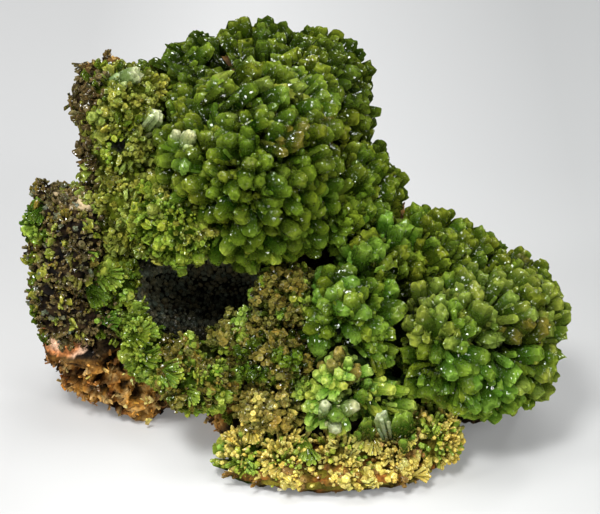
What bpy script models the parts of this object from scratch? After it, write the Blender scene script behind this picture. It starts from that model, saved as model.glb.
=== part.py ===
"""Pyromorphite specimen: sprays of hexagonal crystals on a limonite rock with a hollow in its front.

Metres, +Z up. +X is to the right as the specimen is shown, and +Y to its back. The origin is the
centre of the base, on the surface that the rock rests on.
"""

import math
import random
from collections import namedtuple

import bmesh
import bpy
from mathutils import Matrix, Vector, noise

MM = 0.001

# Driving dimensions, in millimetres until MM scales them
CRYSTAL_SPACING = 7.4
CRYSTAL_RADIUS = 3.0
CRYSTAL_PROUD = 3.2
FINE_SPACING = 7.4
FINE_RADIUS = 2.7
FINE_PROUD = 1.3
ROOT_DEPTH = 1.6
LOWEST_TIP = 2.0
CORE_ROUGHNESS = 2.0
HOLLOW_ROUGHNESS = 1.2
CRAG_DEPTH = 3.6
CRAG_SIZE = 11.0
PIT_DEPTH = 1.8
PIT_SIZE = 4.0
CRUST_THICKNESS = 1.7
CRUST_FRONT = 28.0
GAP = 0.3
# The cutters' faces move out by less than their corners do, so they grow by more than the gap
GAP_AT_ROCK = GAP * 1.4
# The design's own zero is near its front left corner at the base. This moves it to the origin.
FRAME_SHIFT = Vector((0.7, -28.35, 0.0))

# Crystals: width at the tip as a share of the root, and how much they lean, grow and thicken by chance
TIP_TAPER = 0.72
LEAN = 0.06
REACH_CHANGE = (0.95, 1.03)
WIDTH_CHANGE = (0.85, 1.15)
# How crystals pack on a sphere, as a share of a square grid's cell
PACKING = 0.87
# The least distance between two tips, as a share of the spacing
CLEARANCE = 0.84
# A tip this far out in a neighbouring spray, or in the hollow, as a share of its reach, still shows
SEAM_SHARE = 0.9
# For each kind of growth: spacing, radius, and how far the crystals stand out of the spray's body
GROWTH = {
    "coarse": (CRYSTAL_SPACING, CRYSTAL_RADIUS, CRYSTAL_PROUD),
    "fine": (FINE_SPACING, FINE_RADIUS, FINE_PROUD),
}

# Fineness of the surfaces: subdivisions of a round shape, size of a joined skin's cells in mm, and the
# share of that skin's faces that stays
HIDDEN_FINENESS = 2
SHOWN_FINENESS = 3
BODY_VOXEL = 1.3
BODY_FACES_KEPT = 0.0275
CRAG_VOXEL = 1.2
CRAG_FACES_KEPT = 0.0345
# The crags go inwards, and even their tops stay a little below the lumps' own surface
CRAG_OUTWARD = -0.15
PIT_OUTWARD = 0.5
ROUGHNESS_PER_MM = 0.24
SEED_STEP = 3.7
HOLLOW_SEED = 21

Lump = namedtuple("Lump", "name centre radii")
Spray = namedtuple("Spray", "name centre reach kind")

# The limonite that the crystals and the hollow hide, as overlapping lumps: name, centre and radii in mm
CORE = (
    Lump("core", (-3, 41, 20), (25, 13, 22)),
    Lump("right_core", (26, 28, 13), (14.5, 12, 14)),
    Lump("floor", (5, 22, 6), (22, 13, 9)),
    Lump("hollow_wall", (-16, 37, 24), (18, 13, 14)),
    Lump("front_edge", (5.5, 7.5, 2.4), (18.5, 8.5, 2.5)),
)
# The limonite that shows, at the back, on the left and along the front edge
CRAGS = (
    Lump("back_high", (-9, 47, 48.5), (20, 9.5, 12.5)),
    Lump("back_left", (-14, 46, 32), (19, 10, 16)),
    Lump("back_right", (7, 45, 20), (17, 10, 15)),
    Lump("back_foot", (-2, 45, 8), (28, 11, 11)),
    Lump("right_back", (28, 31, 10), (13, 9, 11)),
    Lump("left_web", (-33, 34, 21), (7, 9, 15)),
    Lump("left_wall_high", (-40, 34, 30), (6.9, 8, 8)),
    Lump("left_wall_low", (-40.5, 32, 20), (7.6, 8, 6)),
    Lump("left_ledge", (-38.5, 33, 39), (9, 7.5, 4)),
    Lump("left_shelf", (-38.5, 28, 14.5), (9, 7.5, 2.2)),
    Lump("left_foot", (-37, 33, 8), (9, 7.5, 6.5)),
    Lump("left_toe", (-27, 31, 6.5), (10, 6.5, 6.5)),
    Lump("left_rim", (-31.5, 41, 51), (7, 6.5, 11)),
)

# Sprays of crystals: name, centre and reach to the crystal tips in mm, kind of growth
SPRAYS = (
    Spray("back_left", (-17, 45, 56.5), (10.5, 10, 9.5), "coarse"),
    Spray("back_middle", (-8, 47, 58), (11, 10, 10), "coarse"),
    Spray("back_right", (3, 43, 58), (10, 11, 10), "coarse"),
    Spray("back_side", (7, 40, 53), (7, 8, 8), "coarse"),
    Spray("crown", (-6, 31, 58), (13, 9, 8.5), "coarse"),
    Spray("crown_left", (-16, 33, 54), (10, 9, 9), "coarse"),
    Spray("dome", (-6.5, 24, 49), (13.5, 13, 14), "coarse"),
    Spray("dome_right", (-1, 26, 53), (9, 10, 10), "coarse"),
    Spray("dome_left", (-17, 25, 50), (9, 9, 10), "coarse"),
    Spray("dome_low", (-8, 24, 40), (11, 10, 8), "coarse"),
    Spray("dome_low_right", (0.5, 26, 42), (8, 9, 9), "coarse"),
    Spray("skirt", (-20.5, 24, 41), (10, 9, 8.5), "fine"),
    Spray("skirt_left", (-29, 29, 40), (9, 8, 9), "fine"),
    Spray("rim_high", (-30, 36, 57), (9, 8, 8), "fine"),
    Spray("rim_middle", (-31, 34, 49), (8, 8, 9), "fine"),
    Spray("middle_high", (8.5, 38, 43), (8, 9, 8.5), "coarse"),
    Spray("middle_side", (13.5, 37, 39), (5.5, 8, 7.5), "coarse"),
    Spray("middle", (8.5, 32, 44), (8, 8, 8), "coarse"),
    Spray("middle_low", (9, 29, 39), (8, 8, 8), "coarse"),
    Spray("shoulder_left", (13.5, 25, 33.5), (8.5, 8, 8), "coarse"),
    Spray("shoulder", (22, 30, 31.5), (9, 8.5, 8.5), "coarse"),
    Spray("shoulder_right", (28, 29, 29.5), (8.5, 8.5, 8), "coarse"),
    Spray("right_high", (36, 25.5, 25.5), (9, 9.5, 8.5), "coarse"),
    Spray("right_end", (38.5, 20, 23.5), (8.5, 10, 9.5), "coarse"),
    Spray("right_middle", (30.5, 19, 24), (10, 10, 10), "coarse"),
    Spray("right_inner", (21.5, 17, 24), (8, 8, 9), "coarse"),
    Spray("right_low", (31, 13, 16.5), (10, 8.5, 8.5), "coarse"),
    Spray("right_low_end", (38, 15, 17), (8, 8, 7.5), "coarse"),
    Spray("right_low_inner", (22, 12, 18), (7.5, 7, 7), "coarse"),
    Spray("strip_left", (-12, 18, 22.5), (7.5, 6, 6), "fine"),
    Spray("strip_right", (-1.5, 19, 28), (8.5, 7, 7), "fine"),
    Spray("green_heart", (7, 17, 29), (7.5, 7, 7.5), "coarse"),
    Spray("green_heart_low", (5, 15, 24.5), (6, 6, 5.5), "coarse"),
    Spray("heart_right", (14, 17, 25), (7, 6.5, 8), "coarse"),
    Spray("heart_low", (13, 13.5, 20.5), (6.5, 6, 6), "coarse"),
    Spray("shoulder_low", (18.5, 23, 27), (7, 7, 7), "coarse"),
    Spray("middle_tuft", (-4, 12, 20.5), (7.5, 6, 6), "fine"),
    Spray("middle_low_tuft", (1, 13, 15.5), (8, 6, 6), "fine"),
    Spray("front_high", (8.5, 12, 18.5), (7.5, 7, 7), "coarse"),
    Spray("front_low", (6, 9, 14), (7, 6, 6.5), "coarse"),
    Spray("front_side", (14.5, 10, 14.5), (7, 6, 6.5), "coarse"),
    Spray("ledge_1", (-8.5, 5, 6), (6.5, 6, 4.8), "fine"),
    Spray("ledge_2", (-2, 4, 6), (8, 6, 5), "fine"),
    Spray("ledge_3", (7.5, 4, 6.5), (8, 6, 5), "fine"),
    Spray("ledge_4", (16, 5.5, 7.5), (8, 6, 5), "fine"),
    Spray("ledge_5", (23, 9, 8.5), (6, 6, 5), "fine"),
    Spray("ledge_back", (-5, 10, 12), (7.5, 6, 5), "fine"),
    Spray("crust_left", (-17, 13, 15.5), (8, 7, 6), "fine"),
    Spray("crust_lip", (-19, 17, 20), (6, 5, 5), "fine"),
    Spray("fan_low", (-26, 20, 16.5), (5.5, 5, 6), "fine"),
    Spray("fan_middle", (-27, 22, 22), (5, 5, 6), "fine"),
    Spray("fan_high", (-31, 25, 28), (5, 5, 6), "fine"),
)
LEFT_TIP = Spray("left_tip", (-44.7, 29.8, 36.6), (4.2, 4.2, 3.8), "fine")

# The hollow in the front, as an ellipsoid
HOLLOW_CENTRE = Vector((-16.5, 30, 25))
HOLLOW_RADII = Vector((14, 16, 8.5))


def clear_scene():
    for thing in list(bpy.data.objects):
        bpy.data.objects.remove(thing)


def collection(name):
    made = bpy.data.collections.new(name)
    bpy.context.scene.collection.children.link(made)
    return made


def material(name, colour, roughness):
    made = bpy.data.materials.new(name)
    made.use_nodes = True
    shader = made.node_tree.nodes["Principled BSDF"]
    shader.inputs["Base Color"].default_value = (*colour, 1)
    shader.inputs["Roughness"].default_value = roughness
    return made


def mesh_object(name, shape, where, finish=None):
    """An object made from a bmesh, which it frees."""
    shape.normal_update()
    mesh = bpy.data.meshes.new(name)
    shape.to_mesh(mesh)
    shape.free()
    made = bpy.data.objects.new(name, mesh)
    where.objects.link(made)
    if finish:
        mesh.materials.append(finish)
    return made


def helper(thing):
    """Marks an object as a cutter or a guide, which isn't part of the specimen."""
    thing.hide_render = True
    thing.display_type = "WIRE"
    return thing


def boolean(target, operation, other, own_overlaps=False):
    """Joins or cuts. With own_overlaps, shapes that overlap within one mesh count as joined."""
    step = target.modifiers.new(operation.title(), "BOOLEAN")
    step.operation = operation
    step.object = other
    step.use_self = own_overlaps


def frame_point(point):
    """A point given in mm from the design's zero, in metres from the specimen's origin."""
    return (Vector(point) + FRAME_SHIFT) * MM


def ellipsoid(shape, centre, radii, fineness, roughness=0.0, grow=0.0, seed=0.0):
    """Adds an ellipsoid with a rough surface. Each point moves along its own ray, so grow encloses it."""
    made = bmesh.ops.create_icosphere(shape, subdivisions=fineness, radius=1.0)["verts"]
    shift = Vector((seed, seed * 0.7, -seed))
    for corner in made:
        place = Vector(a * b for a, b in zip(corner.co, radii))
        rough = roughness * noise.noise(place * ROUGHNESS_PER_MM + shift)
        corner.co = frame_point(Vector(centre) + place + place.normalized() * (rough + grow))


def inside(point, centre, radii, scale=1.0):
    """Whether a point lies inside an ellipsoid."""
    apart = Vector(point) - Vector(centre)
    return sum((a / (r * scale)) ** 2 for a, r in zip(apart, radii)) < 1


def sphere_directions(count):
    """Directions spread evenly over a sphere, on a spiral from pole to pole."""
    golden = math.pi * (3 - math.sqrt(5))
    for step in range(count):
        height = 1 - 2 * (step + 0.5) / count
        flat = math.sqrt(1 - height * height)
        yield Vector((flat * math.cos(golden * step), flat * math.sin(golden * step), height))


def add_crystal(shape, tip, axis, length, radius, turn):
    """Adds a six-sided crystal that tapers to a flat end."""
    place = Matrix.Translation(frame_point(tip - axis * length / 2))
    aim = axis.to_track_quat("Z", "Y").to_matrix().to_4x4()
    bmesh.ops.create_cone(
        shape,
        cap_ends=True,
        segments=6,
        radius1=radius * MM,
        radius2=radius * TIP_TAPER * MM,
        depth=length * MM,
        matrix=place @ aim @ Matrix.Rotation(turn, 4, "Z"),
    )


def tip_shows(tip, own, tips, apart):
    """Whether a tip is clear of the other sprays, the rock, the hollow, the base and the other tips."""
    if tip.z < LOWEST_TIP or inside(tip, HOLLOW_CENTRE, HOLLOW_RADII, SEAM_SHARE):
        return False
    if any(inside(tip, other.centre, other.reach, SEAM_SHARE) for other in SPRAYS if other is not own):
        return False
    if any(inside(tip, lump.centre, lump.radii) for lump in CORE + CRAGS):
        return False
    return all((tip - other).length > apart for other in tips)


def add_spray_crystals(shape, spray, tips, seed):
    """Adds the crystals that spread from a spray's middle, and notes their tips."""
    chance = random.Random(seed)
    spacing, radius, proud = GROWTH[spray.kind]
    mean = sum(spray.reach) / 3
    count = round(4 * math.pi * mean * mean / (spacing * spacing * PACKING))
    for way in sphere_directions(count):
        lean = Vector(chance.uniform(-LEAN, LEAN) for _ in range(3))
        reach = Vector(a * b for a, b in zip((way + lean).normalized(), spray.reach))
        tip = Vector(spray.centre) + reach * chance.uniform(*REACH_CHANGE)
        axis = (reach.normalized() + lean).normalized()
        size = radius * chance.uniform(*WIDTH_CHANGE)
        turn = chance.uniform(0, math.pi / 3)
        if tip_shows(tip, spray, tips, spacing * CLEARANCE):
            tips.append(tip)
            add_crystal(shape, tip, axis, proud + ROOT_DEPTH, size, turn)


def remeshed(target, voxel):
    """Joins overlapping shapes under one even skin."""
    step = target.modifiers.new("Joined", "REMESH")
    step.mode = "VOXEL"
    step.voxel_size = voxel * MM


def roughened(target, texture, depth, outward):
    """Moves the skin by a texture, with this share of the depth outwards and the rest inwards."""
    step = target.modifiers.new("Rough", "DISPLACE")
    step.texture = texture
    step.strength = depth * MM
    step.mid_level = 1 - outward


def faceted(target, kept):
    """Leaves this share of the skin's faces, as flat facets."""
    step = target.modifiers.new("Facets", "DECIMATE")
    step.ratio = kept


def grown_crystals(name, sprays, finish, where, helpers):
    """The crystals of these sprays with the mass that they stand on, as one body."""
    masses = bmesh.new()
    prisms = bmesh.new()
    tips = []
    for number, spray in enumerate(sprays):
        proud = GROWTH[spray.kind][2]
        ellipsoid(masses, spray.centre, [reach - proud for reach in spray.reach], HIDDEN_FINENESS)
        add_spray_crystals(prisms, spray, tips, number + 1)
    crystals = mesh_object(name, masses, where, finish)
    remeshed(crystals, BODY_VOXEL)
    faceted(crystals, BODY_FACES_KEPT)
    prisms_guide = helper(mesh_object(name + "_prisms", prisms, helpers))
    boolean(crystals, "UNION", prisms_guide, own_overlaps=True)
    return crystals


def crag_texture(name, kind, size):
    made = bpy.data.textures.new(name, kind)
    made.noise_scale = size * MM
    return made


def largest_piece(thing):
    """Applies the modifiers and leaves the largest piece, without any chips that the cuts left loose."""
    bpy.context.view_layer.update()
    graph = bpy.context.evaluated_depsgraph_get()
    mesh = bpy.data.meshes.new_from_object(thing.evaluated_get(graph))
    shape = bmesh.new()
    shape.from_mesh(mesh)
    loose = set(shape.verts)
    pieces = []
    while loose:
        reached = [loose.pop()]
        for corner in reached:
            near = {edge.other_vert(corner) for edge in corner.link_edges} & loose
            loose -= near
            reached.extend(near)
        pieces.append(reached)
    pieces.sort(key=len)
    for piece in pieces[:-1]:
        bmesh.ops.delete(shape, geom=piece, context="VERTS")
    shape.to_mesh(mesh)
    shape.free()
    thing.modifiers.clear()
    thing.data = mesh


def crags(name, where, finish=None, grow=0.0):
    """The rock that shows: joined lumps, broken up by crags and pits."""
    shape = bmesh.new()
    for lump in CRAGS:
        ellipsoid(shape, lump.centre, lump.radii, SHOWN_FINENESS)
    rock = mesh_object(name, shape, where, finish)
    remeshed(rock, CRAG_VOXEL)
    roughened(rock, crag_texture("crags", "MUSGRAVE", CRAG_SIZE), CRAG_DEPTH, CRAG_OUTWARD)
    roughened(rock, crag_texture("pits", "CLOUDS", PIT_SIZE), PIT_DEPTH, PIT_OUTWARD)
    remeshed(rock, CRAG_VOXEL)
    faceted(rock, CRAG_FACES_KEPT)
    if grow:
        roughened(rock, None, grow, outward=1.0)
    return rock


def core(name, helpers, grow=0.0):
    """The rock that stays hidden, as overlapping lumps."""
    shape = bmesh.new()
    for number, lump in enumerate(CORE):
        seed = number * SEED_STEP
        ellipsoid(shape, lump.centre, lump.radii, HIDDEN_FINENESS, CORE_ROUGHNESS, grow, seed)
    return helper(mesh_object(name, shape, helpers))


def hollow_shape(grow, fineness=HIDDEN_FINENESS):
    shape = bmesh.new()
    ellipsoid(shape, HOLLOW_CENTRE, HOLLOW_RADII, fineness, HOLLOW_ROUGHNESS, grow, HOLLOW_SEED)
    return shape


def block(low, high):
    """A box between two corners in mm."""
    shape = bmesh.new()
    size = (Vector(high) - Vector(low)) * MM
    middle = frame_point((Vector(low) + Vector(high)) / 2)
    bmesh.ops.create_cube(
        shape, size=1, matrix=Matrix.Translation(middle) @ Matrix.Diagonal((*size, 1))
    )
    return shape


def build_rock(where, helpers, hollow):
    finish = material("limonite", (0.20, 0.11, 0.04), 0.9)
    ground = helper(mesh_object("ground_cutter", block((-90, -60, -60), (90, 120, 0)), helpers))
    rock = crags("limonite_rock", where, finish)
    boolean(rock, "UNION", core("rock_core", helpers), own_overlaps=True)
    boolean(rock, "DIFFERENCE", ground)
    boolean(rock, "DIFFERENCE", hollow)
    largest_piece(rock)


def build_hollow_crust(where, helpers):
    """The thin crust of tiny crystals on the back of the hollow."""
    finish = material("drusy_crust", (0.06, 0.065, 0.055), 0.5)
    inside_shape = hollow_shape(-GAP - CRUST_THICKNESS, SHOWN_FINENESS)
    inner = helper(mesh_object("crust_inside", inside_shape, helpers))
    front = helper(mesh_object("crust_front", block((-60, -20, 0), (30, CRUST_FRONT, 60)), helpers))
    crust = mesh_object("hollow_crust", hollow_shape(-GAP), where, finish)
    boolean(crust, "DIFFERENCE", inner)
    boolean(crust, "DIFFERENCE", front)


def build_crystals(where, helpers, hollow):
    green = material("pyromorphite", (0.16, 0.25, 0.03), 0.35)
    crystals = grown_crystals("pyromorphite_crystals", SPRAYS, green, where, helpers)
    left_tip = grown_crystals("left_tip_crystals", [LEFT_TIP], green, where, helpers)
    core_with_gap = core("core_with_gap", helpers, GAP_AT_ROCK)
    crags_with_gap = helper(crags("crags_with_gap", helpers, grow=GAP_AT_ROCK))
    for grown in (crystals, left_tip):
        boolean(grown, "DIFFERENCE", core_with_gap, own_overlaps=True)
        boolean(grown, "DIFFERENCE", crags_with_gap, own_overlaps=True)
        boolean(grown, "DIFFERENCE", hollow)
        largest_piece(grown)


def main():
    clear_scene()
    specimen = collection("pyromorphite_specimen")
    helpers = collection("helpers")
    hollow = helper(mesh_object("hollow_cutter", hollow_shape(0), helpers))
    build_rock(specimen, helpers, hollow)
    build_hollow_crust(specimen, helpers)
    build_crystals(specimen, helpers, hollow)


main()
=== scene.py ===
"""Pyromorphite specimen: bundled hexagonal crystals on limonite, with a dark hollow in the front."""

import math
import random

import bmesh
import bpy
import numpy as np
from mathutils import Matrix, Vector, noise


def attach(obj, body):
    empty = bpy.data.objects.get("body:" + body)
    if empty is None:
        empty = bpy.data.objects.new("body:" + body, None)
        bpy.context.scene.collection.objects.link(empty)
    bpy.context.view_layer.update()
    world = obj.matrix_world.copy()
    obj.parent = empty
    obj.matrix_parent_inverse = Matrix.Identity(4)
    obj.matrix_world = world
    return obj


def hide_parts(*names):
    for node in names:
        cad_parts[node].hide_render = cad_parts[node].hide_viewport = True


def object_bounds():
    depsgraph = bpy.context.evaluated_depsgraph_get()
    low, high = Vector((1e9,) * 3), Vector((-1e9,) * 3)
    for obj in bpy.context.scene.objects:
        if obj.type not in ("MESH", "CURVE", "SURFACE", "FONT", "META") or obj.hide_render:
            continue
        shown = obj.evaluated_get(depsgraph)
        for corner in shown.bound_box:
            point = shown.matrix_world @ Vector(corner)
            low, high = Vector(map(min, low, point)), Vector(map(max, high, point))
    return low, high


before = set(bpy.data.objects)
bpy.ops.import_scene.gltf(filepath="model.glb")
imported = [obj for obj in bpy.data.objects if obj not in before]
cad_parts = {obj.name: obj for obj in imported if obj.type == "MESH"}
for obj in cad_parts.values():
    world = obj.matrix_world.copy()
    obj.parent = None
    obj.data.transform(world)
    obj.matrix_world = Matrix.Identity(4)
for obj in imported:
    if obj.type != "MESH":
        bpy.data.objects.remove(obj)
cad_low, cad_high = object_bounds()

MM = 0.001
# From the design's own zero, in mm, to the specimen's origin
SHIFT = np.array((0.7, -28.35, 0.0))

# The view: its middle in the design's mm, and how far the camera looks down
VIEW_MIDDLE = np.array((0.0, 30.0, 30.5))
ELEVATION = math.radians(28)
TO_CAMERA = np.array((0.0, -math.cos(ELEVATION), math.sin(ELEVATION)))
VIEW_RIGHT = np.array((1.0, 0.0, 0.0))
VIEW_UP = np.array((0.0, math.sin(ELEVATION), math.cos(ELEVATION)))

# Colours as seen in daylight, red, green and blue from 0 to 255: body, tip
TINTS = {
    "dark": ((40, 66, 4), (104, 124, 30)),
    "olive": ((60, 88, 2), (140, 156, 38)),
    "bud": ((42, 78, 2), (124, 148, 30)),
    "lime": ((106, 150, 8), (202, 218, 74)),
    "green": ((62, 108, 4), (144, 170, 46)),
    "vivid": ((66, 120, 8), (142, 180, 56)),
    "right": ((72, 108, 6), (160, 176, 66)),
    "mustard": ((76, 84, 10), (192, 170, 80)),
    "khaki": ((190, 172, 58), (232, 210, 116)),
    "rim": ((128, 144, 20), (222, 222, 100)),
    "fan": ((98, 134, 16), (178, 190, 76)),
    "brown": ((58, 90, 6), (134, 124, 44)),
    "rust": ((130, 92, 32), (224, 176, 98)),
    "bark": ((44, 35, 20), (164, 140, 92)),
    "pale": ((146, 184, 84), (240, 248, 200)),
    "leaf": ((70, 114, 8), (150, 182, 60)),
    "fresh": ((104, 156, 26), (188, 210, 96)),
    "grey": ((104, 106, 86), (160, 160, 134)),
}
# The colours above are lit ones: a crystal's own body and tip are these shares of them
TINT_GAIN = (0.66, 0.50)
# The same for the brightest tints
BRIGHT_GAIN = (1.28, 0.80)
BRIGHT = ("khaki", "fresh", "fan")
# How milky all the colours are
MILKY = 0.04
# Painted highlight: how much lighter a crystal is at its rings, from the edge of its end down to its root
EDGE_PAINTED_HIGHLIGHT = (1.6, 1.15, 1.0, 1.0, 1.0)
# The tip's colour fades out over a crystal's radius and this much more, in mm
TIP_FADE = 0.6
# Shares of the tip's and the body's colour in the middle of a crystal's end
CAP_MIX = (0.55, 0.3)
# Painted shade: how far below its tip, in mm, a crystal is darkest, and the same for the fine forms
PAINTED_SHADE_DEPTH = 4.8
FINE_PAINTED_SHADE_DEPTH = 3.3
FINE_FORMS = ("prism", "needle", "spike")

# How crystals join in a bundle: the main crystal's forms and share of the bundle's radius, how many
# smaller ones, their size, how far out and how far below the tip they end, and how much they part
BUNDLES = {
    "bud": (("barrel", "barrel", "crowned"), 0.88, (2, 4), (0.24, 0.44), (0.62, 0.94), (0.3, 2.2), 0.08),
    "sheaf": (("fluted", "fluted", "finger"), 0.90, (2, 4), (0.28, 0.50), (0.62, 0.94), (0.4, 2.8), 0.07),
    "stub": (("finger",), 0.76, (3, 5), (0.28, 0.46), (0.55, 0.85), (0.2, 2.0), 0.10),
}

# Kinds of growth: spacing, radius, how far it stands out, habit
GROWTHS = {
    "bud": (3.4, 1.75, 4.6, "bud"),
    "sheaf": (3.3, 1.75, 5.0, "sheaf"),
    "small": (2.8, 1.35, 4.6, "stub"),
    "wedge": (3.5, 2.1, 4.8, "sheaf"),
    "back": (3.1, 1.6, 4.8, "sheaf"),
    "blade": (2.9, 1.45, 4.2, "sheaf"),
    "big": (3.6, 2.0, 4.6, "bud"),
    "crust": (2.6, 1.9, 1.7, "crust"),
    "edge": (2.0, 1.5, 1.0, "crust"),
    "tussock": (3.3, 2.9, 2.6, "tussock"),
    "grain": (2.8, 1.6, 2.0, "grain"),
    "plate": (3.2, 2.4, 1.8, "fan"),
    "tuft": (2.4, 1.5, 1.8, "mixed"),
}
# The kinds with small crystals, and the pieces that have the finish for them
FINE = ("crust", "edge", "tussock", "grain", "plate", "tuft")
FINE_PIECES = ("rim_crystals", "strip_crystals", "fan_crystals", "left_tip_cluster")
# Shares of leaves and of fans in a tussock; the rest are bursts
TUSSOCK_LEAVES = 0.15
TUSSOCK_FANS = 0.25

# Sprays of each piece: centre and reach in mm, growth, tint, second tint and its share
SPRAY_GROUPS = {
    "back_dome_crystals": (
        ((-17, 45, 56.5), (10.5, 10, 9.5), "back", "dark", "brown", 0.06),
        ((-8, 47, 58), (11, 10, 10), "back", "dark", "olive", 0.3),
        ((3, 43, 58), (10, 11, 10), "back", "dark", "olive", 0.3),
        ((7, 40, 53), (7, 8, 8), "back", "dark", "olive", 0.3),
    ),
    "crown_crystals": (
        ((-6, 31, 58), (13, 9, 8.5), "wedge", "right", "green", 0.5),
        ((-16, 33, 54), (10, 9, 9), "small", "olive", "dark", 0.4),
    ),
    "dome_crystals": (
        ((-6.5, 24, 49), (13.5, 13, 14), "bud", "bud", "olive", 0.3),
        ((-1, 26, 53), (9, 10, 10), "bud", "olive", "brown", 0.08),
        ((-17, 25, 50), (9, 9, 10), "bud", "olive", "green", 0.3),
        ((-8, 24, 40), (11, 10, 8), "bud", "bud", "lime", 0.2),
        ((0.5, 26, 42), (8, 9, 9), "bud", "bud", "green", 0.4),
    ),
    "rim_crystals": (
        ((-20.5, 24, 41), (10, 9, 8.5), "tuft", "lime", "rim", 0.3),
        ((-29, 29, 40), (9, 8, 9), "crust", "rim", "brown", 0.2),
        ((-30, 36, 57), (9, 8, 8), "crust", "rim", "olive", 0.35),
        ((-31, 34, 49), (8, 8, 9), "crust", "rim", "lime", 0.4),
    ),
    "middle_crystals": (
        ((8.5, 38, 43), (8, 9, 8.5), "blade", "olive", "dark", 0.4),
        ((13.5, 37, 39), (5.5, 8, 7.5), "blade", "olive", "dark", 0.4),
        ((8.5, 32, 44), (8, 8, 8), "sheaf", "bud", "olive", 0.4),
        ((9, 29, 39), (8, 8, 8), "sheaf", "bud", "green", 0.3),
    ),
    "shoulder_crystals": (
        ((13.5, 25, 33.5), (8.5, 8, 8), "sheaf", "vivid", "olive", 0.4),
        ((22, 30, 31.5), (9, 8.5, 8.5), "blade", "olive", "green", 0.3),
        ((28, 29, 29.5), (8.5, 8.5, 8), "blade", "olive", "dark", 0.4),
        ((18.5, 23, 27), (7, 7, 7), "sheaf", "green", "olive", 0.4),
    ),
    "right_dome_crystals": (
        ((36, 25.5, 25.5), (9, 9.5, 8.5), "blade", "olive", "brown", 0.08),
        ((38.5, 20, 23.5), (8.5, 10, 9.5), "sheaf", "right", "brown", 0.1),
        ((30.5, 19, 24), (10, 10, 10), "sheaf", "right", "green", 0.2),
        ((21.5, 17, 24), (8, 8, 9), "sheaf", "right", "green", 0.3),
    ),
    "right_low_crystals": (
        ((31, 13, 16.5), (10, 8.5, 8.5), "sheaf", "vivid", "green", 0.4),
        ((37.7, 15, 17.1), (7.8, 8, 7.4), "sheaf", "right", "green", 0.4),
        ((22, 12, 18), (7.5, 7, 7), "sheaf", "bud", "vivid", 0.3),
    ),
    "strip_crystals": (
        ((-12, 18, 22.5), (7.5, 6, 6), "grain", "mustard", "fan", 0.35),
        ((-1.5, 19, 28), (8.5, 7, 7), "grain", "mustard", "fan", 0.35),
        ((-4, 12, 20.5), (7.5, 6, 6), "grain", "mustard", "bud", 0.5),
        ((1, 13, 15.5), (8, 6, 6), "grain", "mustard", "fan", 0.3),
    ),
    "heart_crystals": (
        ((7, 17, 29), (7.5, 7, 7.5), "big", "vivid", "bud", 0.3),
        ((5, 15, 24.5), (6, 6, 5.5), "bud", "bud", "vivid", 0.5),
        ((14, 17, 25), (7, 6.5, 8), "sheaf", "green", "bud", 0.3),
        ((13, 13.5, 20.5), (6.5, 6, 6), "small", "olive", "green", 0.4),
    ),
    "front_crystals": (
        ((8.5, 12, 18.5), (7.5, 7, 7), "small", "fresh", "mustard", 0.25),
        ((6, 9, 14), (7, 6, 6.5), "small", "fresh", "fan", 0.3),
        ((14.5, 10, 14.5), (7, 6, 6.5), "small", "leaf", "fan", 0.35),
    ),
    "ledge_crystals": (
        ((-8.5, 8.2, 2.4), (7, 7.6, 7.2), "tussock", "fan", "khaki", 0.5),
        ((-2, 8, 2.2), (8, 7.9, 7.4), "tussock", "khaki", "fan", 0.5),
        ((7.5, 8, 2.4), (8, 7.9, 7.8), "tussock", "khaki", "fan", 0.5),
        ((16, 9, 3.0), (8, 7.4, 8.2), "tussock", "khaki", "rust", 0.4),
        ((23, 11, 4.5), (6, 7.2, 8.2), "tussock", "khaki", "fan", 0.5),
        ((-5, 10, 12), (7.5, 6, 5), "grain", "mustard", "khaki", 0.3),
        ((5.5, 7.3, 2.5), (19.7, 9.3, 3.4), "edge", "khaki", "rust", 0.4),
    ),
    "fan_crystals": (
        ((-17, 13, 15.5), (8, 7, 6), "tuft", "fan", "mustard", 0.5),
        ((-19, 17, 20), (6, 5, 5), "grain", "mustard", "fan", 0.4),
        ((-26, 20, 16.5), (5.5, 5, 6), "tuft", "fan", "lime", 0.3),
        ((-27, 22, 22), (5, 5, 6), "tuft", "fan", "lime", 0.3),
        ((-31, 25, 28), (5, 5, 6), "tuft", "fan", "olive", 0.3),
    ),
    "left_tip_cluster": (
        ((-44.7, 29.8, 36.6), (4.2, 4.2, 3.8), "plate", "leaf", "fan", 0.2),
    ),
}
SPRAYS = [(piece, *row) for piece, rows in SPRAY_GROUPS.items() for row in rows]
# All sprays but the left tip, which is a solid of its own, stand on one mass
MASS_SPRAYS = SPRAYS[:-1]

# Where whole groups of crystals spread from: a place in the front view, how deep under the surface
# there, in mm, and how strongly
SPREADS_FROM = {
    "back_dome_crystals": (-7.0, 24.0, 8.0, 1.1),
    "crown_crystals": (-20.0, 17.0, 6.0, 1.5),
    "dome_crystals": (-10.0, 12.0, 6.0, 1.3),
    "middle_crystals": (4.0, 5.0, 6.0, 1.2),
    "shoulder_crystals": (12.5, -8.0, 8.0, 1.2),
    "heart_crystals": (4.4, -8.4, 4.0, 1.5),
    "front_crystals": (5.2, -21.0, 4.0, 1.3),
    "right_dome_crystals": (23.5, -15.0, 3.5, 1.7),
    "right_low_crystals": (24.5, -13.0, 3.5, 1.6),
}

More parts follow.
